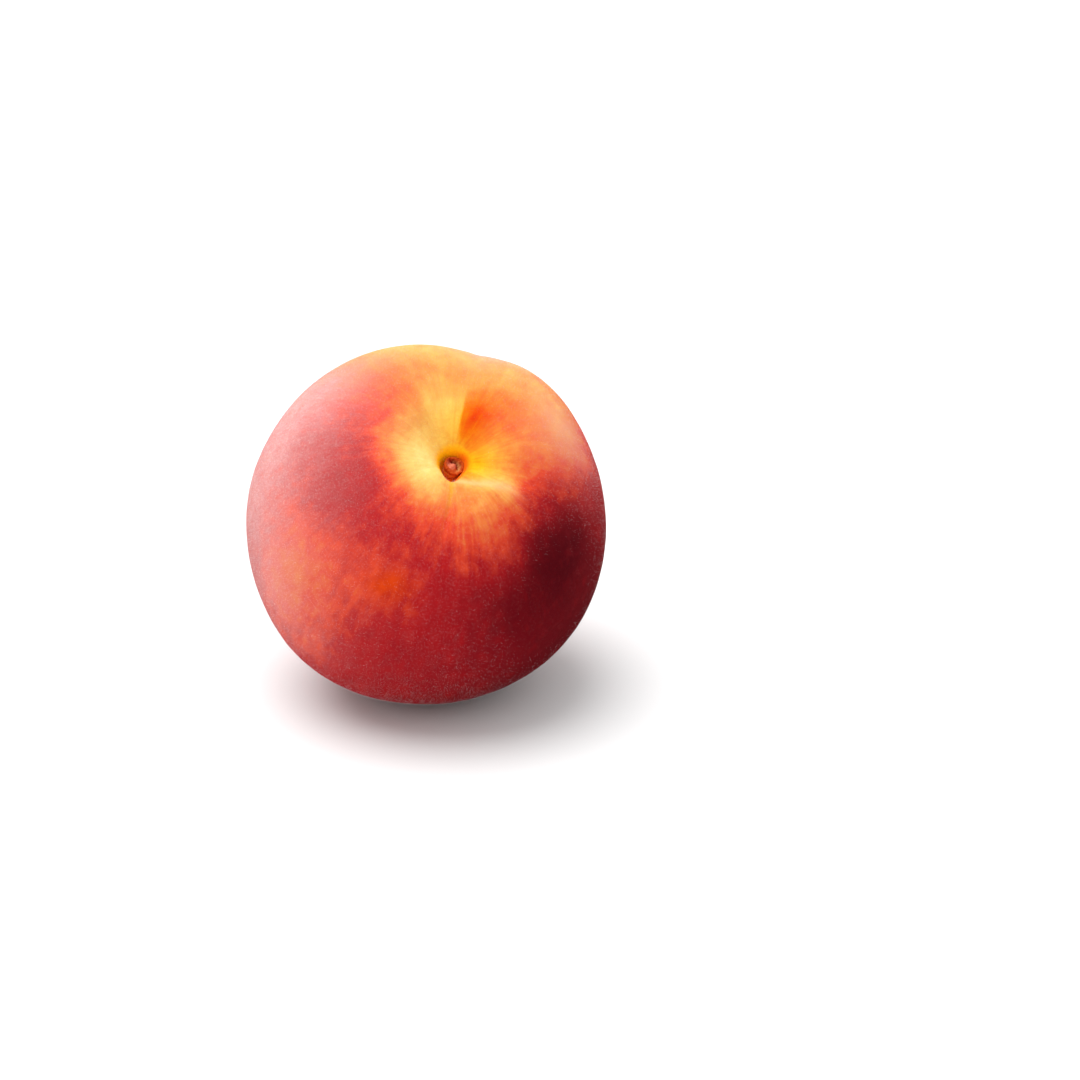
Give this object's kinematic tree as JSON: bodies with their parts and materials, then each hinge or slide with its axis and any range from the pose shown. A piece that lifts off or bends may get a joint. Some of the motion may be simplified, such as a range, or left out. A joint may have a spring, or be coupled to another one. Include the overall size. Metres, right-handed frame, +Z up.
{
  "type": "peach",
  "caption": "Whole ripe peach with a suture groove, a deep stem hollow and a short stem stub, lying on its lower flank.",
  "frame": {"origin": "centre of the small flat spot on the lower flank that the fruit rests on", "axes": "+Z up away from the surface it rests on; the stem end leans 37 degrees from upright, towards -Y and a little +X"},
  "size_m": [0.0738, 0.0729, 0.0711],
  "materials": {
    "skin": "matt downy skin, yellow ground with a red blush",
    "stem_bark": "dry ridged bark, torn off unevenly"
  },
  "bodies": {
    "root": {"peach_fruit": "skin", "stem_stub": "stem_bark"}
  },
  "joints": []
}
